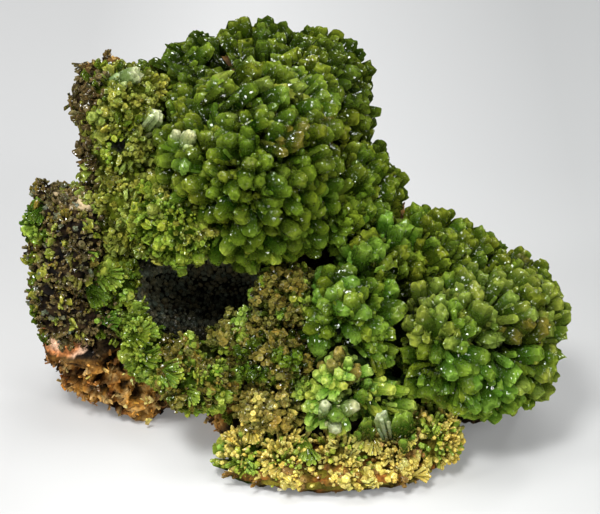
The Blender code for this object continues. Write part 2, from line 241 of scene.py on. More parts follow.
# The rock's lumps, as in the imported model: centre and radii in mm
LUMPS = (
    ((-3, 41, 20), (25, 13, 22)), ((26, 28, 13), (14.5, 12, 14)), ((5, 22, 6), (22, 13, 9)),
    ((-16, 37, 24), (18, 13, 14)), ((5.5, 7.5, 2.4), (18.5, 8.5, 2.5)), ((-9, 47, 48.5), (20, 9.5, 12.5)),
    ((-14, 46, 32), (19, 10, 16)), ((7, 45, 20), (17, 10, 15)), ((-2, 45, 8), (28, 11, 11)),
    ((28, 31, 10), (13, 9, 11)), ((-33, 34, 21), (7, 9, 15)), ((-40, 34, 30), (6.9, 8, 8)),
    ((-40.5, 32, 20), (7.6, 8, 6)), ((-38.5, 33, 39), (9, 7.5, 4)), ((-38.5, 28, 14.5), (9, 7.5, 2.2)),
    ((-37, 33, 8), (9, 7.5, 6.5)), ((-27, 31, 6.5), (10, 6.5, 6.5)), ((-31.5, 41, 51), (7, 6.5, 11)),
)

# Painted shade: how light the small crystals between others are, under coarse and fine growth, and in some
# pieces
COARSE_UNDER_PAINTED_SHADE = 0.42
FINE_UNDER_PAINTED_SHADE = 0.55
UNDER_PAINTED_SHADE = {"ledge_crystals": 1.0, "strip_crystals": 0.22}
# How light the painted shade leaves a crystal at its root
ROOT_PAINTED_SHADE = 0.06
# Painted shade: how light the mass between the crystals is, under coarse and under fine growth
BED_PAINTED_SHADE = (0.06, 0.28)
# The finest step of the rock's surface, in mm
ROCK_VOXEL = 0.64
HOLLOW_CENTRE = np.array((-16.5, 30.0, 25.0))
HOLLOW_RADII = np.array((14.0, 16.0, 8.5))
# A small round pit in the crust at the upper left
PIT_CENTRE = np.array((-31.0, 27.4, 54.1))
PIT_RADII = np.array((1.9, 1.9, 1.9))
# How high over the floor the lowest tips are, in mm, and the same for the front ledge
LOWEST_TIP = 0.8
LEDGE_LOWEST_TIP = 2.8
# The left wall of rock, in mm, how far apart its crystals stand, and the small ones between them
WALL_BOTTOM, WALL_TOP = 16.8, 43.5
WALL_RIGHT, WALL_TOP_RIGHT, WALL_BACK = -28, -32.5, 43
WALL_SPACING = 2.1
WALL_UNDER_SPACING = 1.0
# Below this the rock at the left is orange and full of cells
GOSSAN_TOP = 13.5
# Left of this the crust along the upper left edge turns brown, all of it past the width, in mm
BARK_FROM = -33.5
BARK_WIDTH = 5.0
# In the hollow, the fine crystals start this far back; how many they are all around
DRUSE_FRONT = 24.0
DRUSE_COUNT = 2400
# The rock's colours as seen, red, green and blue from 0 to 255
ROCK_TINTS = {
    "black": (16, 13, 10),
    "brown": (54, 40, 26),
    "orange": (150, 86, 34),
    "ochre": (204, 146, 62),
    "tan": (214, 192, 150),
    # Pale ochre of the ridges: partly own colour, partly painted highlight
    "light": (250, 214, 140),
    "band": (236, 152, 88),
    "band_light": (255, 214, 180),
    "front_green": (112, 98, 34),
    "front_brown": (150, 96, 40),
    # Near black in the hollow: partly the crust's own dark colour, partly painted shade
    "hollow": (24, 25, 20),
}

# Forms of a single crystal: sides, rings as distance below the tip and width in radii, the root's width,
# how far the middle of its end stands up, how deep its grooves are, and how uneven the edge of its end is
FORMS = {
    "barrel": (6, ((0.0, 0.44), (0.16, 0.70), (0.7, 0.93), (1.7, 1.03)), 0.58, 0.10, 0.0, 0.10),
    "crowned": (12, ((0.0, 0.42), (0.2, 0.66), (0.8, 0.90), (2.0, 1.0)), 0.58, 0.02, 0.10, 0.26),
    "fluted": (12, ((0.0, 0.68), (0.22, 0.84), (1.0, 0.97), (2.6, 0.98)), 0.50, -0.16, 0.22, 0.70),
    "finger": (6, ((0.0, 0.54), (0.2, 0.74), (1.0, 0.94), (2.4, 1.0)), 0.55, 0.06, 0.0, 0.08),
    "prism": (6, ((0.0, 0.78), (0.2, 1.0)), 0.65, 0.05, 0.0, 0.0),
    "needle": (5, ((0.0, 0.58), (0.6, 1.0)), 0.7, 0.12, 0.0, 0.1),
    "spike": (4, ((0.0, 0.35), (1.2, 1.0)), 0.6, 0.3, 0.0, 0.0),
    "chip": (4, ((0.0, 0.75),), 1.0, 0.1, 0.0, 0.0),
}

# Crystals that stand out, by where they show in the front view: across and up from its middle in mm,
# the way the tip points in that view and its angle to the line of sight in degrees, radius and length
# in mm, bundle, tint
CLEAR = (
    (-18.0, 20.6, 62, 52, 1.55, 7.0, "bud", "pale"),
    (-19.2, 14.8, 270, 20, 1.6, 5.0, "bud", "leaf"),
    (-20.4, 20.8, 75, 50, 1.2, 5.0, "bud", "pale"),
    (-27.2, 31.0, 20, 58, 1.7, 4.5, "sheaf", "pale"),
    (-23.6, 24.4, 45, 60, 1.5, 5.0, "sheaf", "pale"),
    (4.2, -24.6, 80, 35, 1.4, 4.5, "bud", "pale"),
    (6.3, -26.8, 300, 20, 1.9, 4.5, "bud", "leaf"),
    (9.4, -25.0, 20, 50, 1.6, 5.0, "bud", "pale"),
    (6.0, -29.2, 280, 30, 1.5, 4.0, "bud", "pale"),
    (13.6, -26.2, 105, 62, 1.3, 5.5, "sheaf", "pale"),
)
STANDOUT = {
    "dome_crystals": (
        (0.6, 18.9, 350, 62, 2.1, 7.0, "sheaf", "brown"),
        (4.0, 21.0, 10, 64, 1.7, 6.5, "sheaf", "olive"),
        (-2.4, 17.0, 340, 52, 1.4, 6.0, "bud", "brown"),
        (-5.4, 22.2, 20, 58, 1.3, 6.0, "bud", "bud"),
        (-11.6, 19.6, 120, 25, 1.9, 5.0, "bud", "bud"),
        (-9.0, 12.0, 270, 20, 2.0, 5.0, "bud", "bud"),
    ),
    "crown_crystals": (
        (-7.4, 31.6, 40, 62, 2.0, 7.5, "sheaf", "olive"),
        (-2.2, 31.6, 50, 62, 2.1, 7.5, "sheaf", "olive"),
        (-7.6, 28.2, 38, 66, 2.0, 8.0, "sheaf", "bud"),
        (-1.8, 27.4, 25, 66, 1.9, 7.0, "sheaf", "green"),
        (-10.8, 28.8, 35, 64, 1.9, 7.0, "sheaf", "olive"),
        (-15.4, 36.0, 38, 66, 1.9, 7.5, "sheaf", "green"),
    ),
    "heart_crystals": (
        (11.2, -9.6, 345, 45, 2.2, 6.5, "bud", "vivid"),
        (9.4, -14.2, 300, 45, 2.0, 6.0, "bud", "vivid"),
        (16.6, -4.8, 30, 58, 1.9, 7.0, "sheaf", "vivid"),
        (4.4, -13.0, 250, 20, 1.5, 4.5, "bud", "bud"),
        (4.2, -9.2, 200, 25, 1.3, 4.5, "bud", "bud"),
        (8.4, -6.6, 110, 40, 2.0, 5.5, "bud", "green"),
    ),
    "shoulder_crystals": (
        (11.0, 1.6, 70, 45, 2.2, 6.5, "sheaf", "vivid"),
        (14.2, 2.4, 35, 50, 2.2, 6.5, "sheaf", "vivid"),
        (19.8, -4.2, 90, 62, 1.6, 6.0, "sheaf", "right"),
        (23.6, -4.0, 62, 62, 1.8, 6.5, "sheaf", "right"),
    ),
    "right_dome_crystals": (
        (31.2, -7.6, 60, 55, 2.3, 7.5, "sheaf", "right"),
        (24.8, -14.6, 190, 45, 1.8, 6.5, "sheaf", "right"),
        (33.0, -14.4, 330, 30, 2.4, 7.0, "sheaf", "right"),
        (42.0, -12.0, 5, 62, 2.2, 8.0, "sheaf", "brown"),
        (40.6, -6.0, 40, 60, 2.2, 7.5, "sheaf", "olive"),
    ),
    "right_low_crystals": (
        (31.4, -16.8, 352, 60, 2.1, 8.0, "bud", "vivid"),
        (40.6, -16.2, 5, 64, 2.1, 8.0, "sheaf", "vivid"),
        (28.4, -19.4, 330, 45, 2.0, 7.0, "bud", "vivid"),
        (36.6, -20.6, 325, 55, 2.1, 7.5, "sheaf", "vivid"),
        (22.6, -17.2, 250, 35, 1.6, 6.0, "bud", "bud"),
    ),
    "front_crystals": (
        (16.8, -26.4, 98, 60, 2.2, 5.5, "sheaf", "leaf"),
        (11.4, -27.4, 85, 52, 1.5, 5.0, "sheaf", "leaf"),
        (10.8, -22.8, 60, 40, 1.5, 5.0, "bud", "vivid"),
    ),
}
# Fans of thin crystals that show their flat side: across, up, way, angle, radius, length, tint
FANS = (
    (-30.4, -4.6, 335, 62, 2.7, 3.5, "fan"),
    (-33.0, -7.4, 325, 66, 2.4, 3.5, "leaf"),
    (-31.4, -10.2, 10, 60, 2.3, 3.0, "leaf"),
    (-25.0, -11.2, 35, 60, 3.0, 3.5, "fan"),
    (-26.0, -14.4, 350, 58, 2.8, 3.5, "lime"),
    (-24.0, -18.2, 345, 60, 2.6, 3.0, "lime"),
    (-20.0, -20.6, 340, 55, 2.4, 3.0, "fan"),
    (-38.6, -3.6, 150, 55, 1.8, 2.5, "fan"),
    (-35.4, -0.6, 40, 55, 1.9, 2.5, "rim"),
    (-47.2, 7.6, 185, 62, 2.4, 3.0, "leaf"),
    (-45.2, 5.8, 250, 60, 2.0, 3.0, "leaf"),
    (-17.0, -24.0, 320, 60, 2.2, 3.0, "fan"),
    (-6.6, -30.6, 300, 60, 2.6, 3.0, "khaki"),
    (1.6, -35.0, 280, 62, 2.6, 3.0, "fan"),
    (11.6, -33.4, 265, 62, 2.6, 3.0, "khaki"),
    (19.6, -31.4, 330, 62, 2.4, 3.0, "khaki"),
    (-13.4, -27.4, 200, 60, 2.2, 3.0, "fan"),
)


def linear(colour):
    """A display colour from 0 to 255 as scene-linear values."""
    c = np.array(colour) / 255
    return np.where(c <= 0.04045, c / 12.92, ((c + 0.055) / 1.055) ** 2.4)


def metres(points):
    return (points + SHIFT) * MM


def unit(v):
    return v / np.linalg.norm(v, axis=-1, keepdims=True)


def across(axis):
    """Two directions square to an axis and to each other."""
    side = unit(np.cross(axis, (0.0, 0.0, 1.0) if abs(axis[2]) < 0.9 else (1.0, 0.0, 0.0)))
    return side, np.cross(axis, side)


def sphere_directions(count):
    golden = math.pi * (3 - math.sqrt(5))
    number = np.arange(count)
    height = 1 - 2 * (number + 0.5) / count
    flat = np.sqrt(1 - height * height)
    return np.stack([flat * np.cos(golden * number), flat * np.sin(golden * number), height], 1)


def within(points, centre, radii, scale=1.0):
    """Which points are inside an ellipsoid, or one that is larger by a scale."""
    return (((points - centre) / np.multiply(radii, scale)) ** 2).sum(-1) < 1


def in_view(turn, tilt):
    """A direction by its turn in the front view and its angle to the line of sight, in degrees."""
    turn, tilt = math.radians(turn), math.radians(tilt)
    flat = math.cos(turn) * VIEW_RIGHT + math.sin(turn) * VIEW_UP
    return unit(flat * math.sin(tilt) + TO_CAMERA * math.cos(tilt))


def shown_at(right, up):
    """The foremost point of the sprays and the rock at a place in the front view."""
    start = VIEW_MIDDLE + right * VIEW_RIGHT + up * VIEW_UP
    best = -math.inf
    for centre, radii in [row[1:3] for row in SPRAYS] + list(LUMPS):
        ray = TO_CAMERA / radii
        gap = (start - centre) / radii
        a, b, c = ray @ ray, ray @ gap, gap @ gap - 1
        if b * b - a * c > 0:
            best = max(best, (math.sqrt(b * b - a * c) - b) / a)
    if best == -math.inf:
        raise ValueError(f"nothing shows at {right}, {up}")
    return start + TO_CAMERA * best


class Growth:
    """Collects single crystals for one piece and makes them one mesh."""

    def __init__(self, name):
        self.name = name
        self.rows = {form: [] for form in FORMS}

    def add(self, form, tip, axis, length, radius, turn, body, end, flat=1.0, way=None):
        self.rows[form].append((tip, axis, length, radius, turn, body, end, flat, way))

    def arrays(self, form, seed):
        """Points, faces, colours with painted shade and highlights, and own coordinates of all crystals of
        one form.
        """
        rows = self.rows[form]
        sides, rings, root_width, peak, groove, teeth = FORMS[form]
        rng = np.random.default_rng(seed)
        painted_shade_depth = FINE_PAINTED_SHADE_DEPTH if form in FINE_FORMS else PAINTED_SHADE_DEPTH
        n = len(rows)
        tip, axis, length, radius, turn, body, end, flat = (np.array(part) for part in list(zip(*rows))[:8])
        axis = unit(axis)
        helper = np.where(np.abs(axis[:, 2:3]) < 0.9, (0.0, 0.0, 1.0), (1.0, 0.0, 0.0))
        for i, row in enumerate(rows):
            if row[8] is not None:
                helper[i] = row[8]
                turn[i] = 0
        u = unit(helper - (helper * axis).sum(1, keepdims=True) * axis)
        v = np.cross(axis, u)
        side = rng.uniform(0.86, 1.12, (n, sides)) * (1 - groove * (np.arange(sides) % 2))
        tooth = rng.uniform(0, 1, (n, sides)) * teeth * radius[:, None]
        blunt = rng.uniform(0.75, 1.25, n)
        slope = rng.normal(0, 0.15, (n, 2))
        angle = turn[:, None] + np.arange(sides) * 2 * math.pi / sides
        levels = list(rings) + [(None, root_width)]
        top = len(levels) * sides
        co = np.empty((n, top + 1, 3))
        own = np.empty_like(co)
        col = np.empty_like(co)
        for k, (below, width) in enumerate(levels):
            drop = length if below is None else np.minimum(below * radius, length * 0.9)
            w = radius * width * (blunt if k == 0 else 1.0)
            r = w[:, None] * side * (1 + rng.normal(0, 0.03, (n, sides)))
            x = r * np.cos(angle)
            y = r * np.sin(angle) * flat[:, None]
            z = (slope[:, :1] * x + slope[:, 1:] * y - tooth) * (k < 2) - drop[:, None]
            at = slice(k * sides, (k + 1) * sides)
            ring = tip[:, None] + x[..., None] * u[:, None] + y[..., None] * v[:, None]
            co[:, at] = ring + z[..., None] * axis[:, None]
            own[:, at] = np.stack([x, y, z], -1)
            share = np.clip(1 - drop / (radius + TIP_FADE), 0, 1)[:, None]
            # Painted shade, darker down towards the root between the other crystals
            shade = (1 - (1 - ROOT_PAINTED_SHADE) * np.clip(drop / painted_shade_depth, 0, 1) ** 1.2)[:, None]
            # Painted highlight, lighter on the rings at the edge of the end
            col[:, at] = ((body * (1 - share) + end * share) * shade * EDGE_PAINTED_HIGHLIGHT[k])[:, None]
        co[:, top] = tip + axis * (peak * radius)[:, None]
        own[:, top] = np.stack([np.zeros(n), np.zeros(n), peak * radius], 1)
        col[:, top] = end * CAP_MIX[0] + body * CAP_MIX[1]
        # Each crystal lies at a place of its own in the textures
        own = own + rng.uniform(-40, 40, (n, 3))[:, None]
        faces, caps = [], []
        last = (len(levels) - 1) * sides
        for s in range(sides):
            t = (s + 1) % sides
            for k in range(len(levels) - 1):
                faces.append((k * sides + s, (k + 1) * sides + s, (k + 1) * sides + t, k * sides + t))
            caps.append((s, t, top))
        for s in range(1, sides - 1):
            caps.append((last, last + s + 1, last + s))
        return co, own, col, np.array(faces), np.array(caps)

    def build(self, finish, seed):
        points, owns, cols, quads, tris = [], [], [], [], []
        start = 0
        for form, rows in self.rows.items():
            if not rows:
                continue
            co, own, col, faces, caps = self.arrays(form, seed)
            seed += 1
            n, per = co.shape[:2]
            base = start + np.arange(n)[:, None, None] * per
            quads.append((faces[None] + base).reshape(-1, 4))
            tris.append((caps[None] + base).reshape(-1, 3))
            points.append(co.reshape(-1, 3))
            owns.append(own.reshape(-1, 3))
            cols.append(col.reshape(-1, 3))
            start += n * per
        co = np.concatenate(points)
        co[:, 2] = np.maximum(co[:, 2], 0.05)
        mesh = mesh_of(self.name, metres(co), np.concatenate(quads), np.concatenate(tris))
        write_attribute(mesh, "tint", np.concatenate(cols), "FLOAT_COLOR")
        write_attribute(mesh, "own", np.concatenate(owns), "FLOAT_VECTOR")
        mesh.materials.append(finish)
        mesh.shade_flat()
        return placed(self.name, mesh)


def mesh_of(name, points, quads, tris):
    mesh = bpy.data.meshes.new(name)
    mesh.vertices.add(len(points))
    mesh.vertices.foreach_set("co", points.astype(np.float32).ravel())
    mesh.loops.add(quads.size + tris.size)
    mesh.loops.foreach_set("vertex_index", np.concatenate([quads.ravel(), tris.ravel()]).astype(np.int32))
    mesh.polygons.add(len(quads) + len(tris))
    starts = np.concatenate([np.arange(len(quads)) * 4, quads.size + np.arange(len(tris)) * 3])
    mesh.polygons.foreach_set("loop_start", starts.astype(np.int32))
    mesh.update(calc_edges=True)
    mesh.validate()
    return mesh


def write_attribute(mesh, name, values, kind):
    layer = mesh.attributes.new(name, kind, "POINT")
    if kind == "FLOAT_COLOR":
        values = np.concatenate([values, np.ones((len(values), 1))], 1)
        layer.data.foreach_set("color", values.astype(np.float32).ravel())
    else:
        layer.data.foreach_set("vector", values.astype(np.float32).ravel())


def placed(name, mesh):
    made = bpy.data.objects.new(name, mesh)
    bpy.context.scene.collection.objects.link(made)
    return made


def vary(chance, colour, amount):
    """A colour a little lighter or darker, and a little yellower or bluer."""
    light = 1 + chance.uniform(-amount, amount)
    warm = chance.uniform(-amount, amount) * 0.5
    return np.clip(colour * light * np.array((1 + warm, 1.0, 1 - warm)), 0.002, 0.9)


def named_tint(chance, name):
    gain = BRIGHT_GAIN if name in BRIGHT else TINT_GAIN
    body, end = (linear(colour) * share for colour, share in zip(TINTS[name], gain))
    body, end = (colour * (1 - MILKY) + colour.max() * MILKY for colour in (body, end))
    return vary(chance, body, 0.22), vary(chance, end, 0.22)


def tint_of(chance, piece, first, second, share, tip):
    """Body and tip colour of a bundle, scattered, and a little in patches."""
    if piece == "rim_crystals" and chance.random() < (BARK_FROM - tip[0]) / BARK_WIDTH:
        return named_tint(chance, "bark")
    patch = noise.noise(Vector(tip) * 0.16) * 0.6 + chance.uniform(-0.5, 0.5)
    return named_tint(chance, second if patch > 0.5 - share else first)


def scatter(chance, amount=1.0):
    return np.array([chance.uniform(-amount, amount) for _ in range(3)])


def member_tint(chance, tint, amount=0.18):
    """The colours of one crystal in a bundle: its tip is as light as the bundle's, or less."""
    body, end = tint
    mix = chance.uniform(0, 0.5)
    return vary(chance, body, amount), vary(chance, end * (1 - mix) + body * mix, amount)


def add_bundle(growth, chance, tip, axis, length, radius, tint, plan):
    """A main crystal with smaller ones grown to its sides, which part a little towards their tips."""
    forms, main, members, size, offset, drop, spread = plan
    form = chance.choice(forms)
    u, v = across(axis)
    turn = chance.uniform(0, 6.3)
    if form == "fluted":
        way = np.cross(axis, TO_CAMERA) + scatter(chance, 0.5)
        growth.add(form, tip, axis, length, radius * main * 1.15, 0, *tint, chance.uniform(0.4, 0.8), way)
    else:
        growth.add(form, tip, axis, length, radius * main, turn, *tint)
    count = chance.randint(*members)
    for i in range(count):
        a = turn + (i + chance.uniform(-0.35, 0.35)) * 2 * math.pi / count
        out = math.cos(a) * u + math.sin(a) * v
        low = radius * chance.uniform(*drop)
        at = tip + out * radius * chance.uniform(*offset) - axis * low
        small = radius * chance.uniform(*size)
        long = max(length - low, length * 0.5)
        growth.add("needle", at, axis + out * spread, long, small, a, *member_tint(chance, tint))


def add_fan(growth, chance, tip, axis, length, radius, tint, members=7, row=None):
    """Narrow crystals side by side in one plane, spreading to a toothed edge."""
    if row is None:
        u, v = across(axis)
        a = chance.uniform(0, math.pi)
        row = math.cos(a) * u + math.sin(a) * v
    face = np.cross(axis, row)
    for i in range(members):
        s = (2 * i / (members - 1) - 1) + chance.uniform(-0.08, 0.08)
        aim = unit(axis + row * s * 0.6 + face * chance.uniform(-0.3, 0.3))
        low = radius * (0.5 * s * s + chance.uniform(0, 0.35))
        at = tip + row * s * radius * 0.85 - axis * low + face * chance.uniform(-0.35, 0.35)
        small = 1.5 * radius / members * chance.uniform(0.7, 1.2)
        turn = chance.uniform(0, 2)
        growth.add("needle", at, aim, length * 0.95, small, turn, *member_tint(chance, tint))


def add_burst(growth, chance, tip, axis, length, radius, tint, members=7, spread=1.0):
    """A spiky burst of thin crystals of unlike length out of one point."""
    u, v = across(axis)
    root = tip - axis * radius * 1.1
    for i in range(members):
        a = (i + chance.uniform(-0.4, 0.4)) * 2.4
        out = math.cos(a) * u + math.sin(a) * v
        aim = unit(axis + out * math.sqrt((i + 0.5) / members) * chance.uniform(0.5, 1.4) * spread)
        far = radius * chance.uniform(0.75, 1.3)
        small = chance.uniform(0.14, 0.38)
        form = chance.choice(("spike", "needle"))
        growth.add(form, root + aim * far, aim, far + 0.4, small, a, *member_tint(chance, tint, 0.25))


def add_grain(growth, chance, tip, axis, length, radius, tint, members=8):
    """A knobbly tuft of small crystals that spread from one point."""
    middle = tip - axis * radius
    for way in sphere_directions(members * 2):
        if way @ axis > -0.1:
            aim = unit(way + scatter(chance, 0.35))
            small = radius * chance.uniform(0.2, 0.46)
            at = middle + aim * radius * chance.uniform(0.6, 1.15)
            turn = chance.uniform(0, 2)
            growth.add("prism", at, aim, radius * 1.1, small, turn, *member_tint(chance, tint))
    # Painted shade: a darker crystal in the middle of the tuft
    core = tip - axis * radius * 0.5
    growth.add("needle", core, axis, length, radius * 0.5, 0, tint[0] * 0.5, tint[0] * 0.8)


def add_leaves(growth, chance, tip, axis, length, radius, tint, members=5):
    """Thin and thicker six-sided blades that stand side by side and cross each other."""
    stack = scatter(chance)
    for _ in range(members):
        lean = scatter(chance)
        at = tip + lean * radius * 0.7 - axis * chance.uniform(0, 0.9)
        small = radius * chance.uniform(0.28, 0.6)
        body, end = member_tint(chance, tint, 0.25)
        flat = chance.uniform(0.14, 0.45)
        way = stack + scatter(chance, 0.5)
        growth.add("prism", at, unit(axis + lean * 0.7), length * 0.8, small, 0, body, end, flat, way)


def add_any(growth, chance, habit, tip, axis, length, radius, tint):
    """A bundle, fan, burst, tuft or stack of blades, by its habit."""
    if habit == "mixed":
        habit = chance.choice(("fan", "grain", "stub", "leaves", "burst"))
    elif habit == "crust":
        habit = chance.choice(("leaves", "grain", "grain", "fan", "burst"))
    if habit in BUNDLES:
        add_bundle(growth, chance, tip, axis, length, radius, tint, BUNDLES[habit])
    elif habit == "tussock":
        draw = chance.random()
        if draw < TUSSOCK_LEAVES:
            add_leaves(growth, chance, tip, axis, length * 0.8, radius * 0.5, tint, 7)
        elif draw < TUSSOCK_LEAVES + TUSSOCK_FANS:
            add_fan(growth, chance, tip, axis, length * 0.8, radius * 0.7, tint, 9)
        else:
            add_burst(growth, chance, tip, axis, length, radius * chance.uniform(0.7, 1.1), tint, 18, 1.1)
    else:
        grow = {"grain": add_grain, "leaves": add_leaves, "burst": add_burst, "fan": add_fan}[habit]
        grow(growth, chance, tip, axis, length, radius, tint)


def spray_tips(number, centre, reach, spacing, taken, low=0.77, high=1.05, deep=1.0):
    """Tips spread over a spray's reach, less those that a neighbour, rock, hollow or base hides."""
    rng = np.random.default_rng(round(number * 17 + spacing * 100))
    mean = sum(reach) / 3
    count = round(4 * math.pi * mean * mean / (spacing * spacing * 0.87))
    ways = sphere_directions(count)
    ways = unit(ways + rng.normal(0, 0.2 * spacing / mean, ways.shape))
    out = ways * reach * rng.uniform(low, high, (count, 1))
    tips = centre + out
    shows = tips[:, 2] > (LEDGE_LOWEST_TIP if SPRAYS[number][0] == "ledge_crystals" else LOWEST_TIP)
    shows &= ~within(tips, HOLLOW_CENTRE, HOLLOW_RADII, 0.97)
    shows &= ~within(tips, PIT_CENTRE, PIT_RADII)
    for other, (_, other_centre, other_reach, *_) in enumerate(SPRAYS):
        if other != number:
            shows &= ~within(tips, other_centre, other_reach, 0.86 * deep)
    for lump_centre, lump_radii in LUMPS:
        shows &= ~within(tips, lump_centre, lump_radii, 0.97)
    for point, apart in taken:
        shows &= np.linalg.norm(tips - point, axis=1) > apart
    return tips[shows], unit(out[shows])


def aimed(chance, middles, piece, tip, axis):
    """A crystal's direction: out of its spray, partly out of its group's middle, with a lean by chance."""
    if piece in middles:
        middle, weight = middles[piece]
        axis = unit(axis + unit(tip - middle) * weight)
    return unit(axis + scatter(chance, 0.26))


def grow_standouts(growths):
    """Places the single crystals and fans that catch the eye, and returns the places they take."""
    chance = random.Random(5)
    taken = []
    rows = [("clear_crystals", row) for row in CLEAR]
    rows += [(piece, row) for piece, some in STANDOUT.items() for row in some]
    for piece, (right, up, turn, tilt, radius, length, habit, tint) in rows:
        growth = growths.setdefault(piece, Growth(piece))
        axis = in_view(turn, tilt)
        tip = shown_at(right, up) + axis * 0.3
        add_any(growth, chance, habit, tip, axis, length, radius, named_tint(chance, tint))
        taken += [(tip, radius * 1.3), (tip - axis * 2.4, radius)]
    for right, up, turn, tilt, radius, length, tint in FANS:
        axis = in_view(turn, tilt)
        tip = shown_at(right, up) + axis * 0.5 + TO_CAMERA * 0.2
        row = unit(np.cross(axis, TO_CAMERA))
        piece = "left_tip_cluster" if right < -44 else "fan_crystals"
        growth = growths.setdefault(piece, Growth(piece))
        for layer in range(4):
            side = chance.uniform(-0.5, 0.5) * radius
            at = tip + row * side - (TO_CAMERA * 0.6 + axis * 0.6) * layer
            lean = unit(axis + row * side / radius * 0.5 + scatter(chance, 0.15))
            small = radius * chance.uniform(0.6, 0.95)
            add_fan(growth, chance, at, lean, length * 0.8, small, named_tint(chance, tint), 10, row)
        taken += [(tip, radius * 0.9), (tip - axis * 1.5, radius * 0.7)]
    return taken


def grow_all():
    growths = {}
    taken = grow_standouts(growths)
    middles = {
        piece: (shown_at(right, up) - TO_CAMERA * deep, weight)
        for piece, (right, up, deep, weight) in SPREADS_FROM.items()
    }
    for number, (piece, centre, reach, kind, first, second, share) in enumerate(SPRAYS):
        growth = growths.setdefault(piece, Growth(piece))
        spacing, radius, proud, habit = GROWTHS[kind]
        chance = random.Random(number + 101)
        for tip, axis in zip(*spray_tips(number, centre, reach, spacing, taken)):
            aim = aimed(chance, middles, piece, tip, axis)
            size = radius * chance.uniform(0.75, 1.25)
            tint = tint_of(chance, piece, first, second, share, tip)
            length = (proud + 1.8) / max(0.65, aim @ axis)
            add_any(growth, chance, habit, tip, aim, length, size, tint)
        # Small crystals between the others, lower down, darkened by painted shade
        if kind in FINE:
            painted_dimming = UNDER_PAINTED_SHADE.get(piece, FINE_UNDER_PAINTED_SHADE)
            for tip, axis in zip(*spray_tips(number, centre, reach, 2.0, [], 0.84, 0.96, 0.9)):
                tint = tint_of(chance, piece, first, second, share, tip)
                body, end = member_tint(chance, tint, 0.25)
                small = chance.uniform(0.25, 0.65)
                aim = aimed(chance, {}, piece, tip, axis)
                growth.add("needle", tip, aim, 1.8, small, chance.uniform(0, 2), body * painted_dimming, end * painted_dimming)
            continue
        # Painted shade on the small crystals between the coarse ones
        painted_dimming = COARSE_UNDER_PAINTED_SHADE
        low = 1 - 0.75 * proud / (sum(reach) / 3)
        high = 1 - 0.35 * proud / (sum(reach) / 3)
        for tip, axis in zip(*spray_tips(number, centre, reach, 2.5, [], low, high, 0.85)):
            body, end = tint_of(chance, piece, first, second, share, tip)
            aim = aimed(chance, {}, piece, tip, axis)
            small = chance.uniform(0.4, 0.9)
            growth.add("needle", tip, aim, proud * 0.7, small, chance.uniform(0, 2), body * painted_dimming, end * painted_dimming)
    return growths


# Materials

def feed(tree, made, inputs):
    """Links or sets a node's inputs, by name or number."""
    for key, value in inputs.items():
        if isinstance(value, bpy.types.NodeSocket):
            tree.links.new(value, made.inputs[key])
        else:
            made.inputs[key].default_value = value


def node(tree, kind, inputs, **settings):
    made = tree.nodes.new(kind)
    for key, value in settings.items():
        setattr(made, key, value)
    feed(tree, made, inputs)
    return made


def noise_node(tree, where, scale, detail, stretch=None):
    """A noise texture on a coordinate, stretched along its third axis if told to."""
    if stretch:
        where = node(tree, "ShaderNodeMapping", {"Scale": stretch, "Vector": where}).outputs["Vector"]
    made = node(tree, "ShaderNodeTexNoise", {"Scale": scale, "Detail": detail, "Vector": where})
    return made.outputs["Fac"]


def ramp(tree, value, low, high, to_low=0.0, to_high=1.0):
    limits = {"From Min": low, "From Max": high, "To Min": to_low, "To Max": to_high}
    return node(tree, "ShaderNodeMapRange", {**limits, "Value": value}).outputs["Result"]


def mixed(tree, factor, first, second, blend_type="MIX"):
    first, second = ((*part, 1.0) if isinstance(part, tuple) else part for part in (first, second))
    inputs = {0: factor, 6: first, 7: second}
    return node(tree, "ShaderNodeMix", inputs, data_type="RGBA", blend_type=blend_type).outputs[2]


def bumped(tree, height, strength, distance):
    inputs = {"Strength": strength, "Distance": distance, "Height": height}
    return node(tree, "ShaderNodeBump", inputs).outputs["Normal"]


def glittering(tree, normal, cells, amount):
    """Tilts each small cell of the surface its own way, so that single cells catch the light."""
    def vector(operation, inputs):
        return node(tree, "ShaderNodeVectorMath", inputs, operation=operation).outputs["Vector"]

    centred = vector("SUBTRACT", {0: cells, 1: (0.5, 0.5, 0.5)})
    scaled = vector("SCALE", {0: centred, "Scale": amount})
    tilted = vector("ADD", {0: normal, 1: scaled})
    return vector("NORMALIZE", {0: tilted})


def from_mesh(tree, name, output):
    """Colours or coordinates that the mesh carries."""
    return node(tree, "ShaderNodeAttribute", {}, attribute_name=name).outputs[output]


def in_object(tree):
    return tree.nodes.new("ShaderNodeTexCoord").outputs["Object"]


def new_material(name):
    made = bpy.data.materials.new(name)
    made.use_nodes = True
    return made, made.node_tree, made.node_tree.nodes["Principled BSDF"]


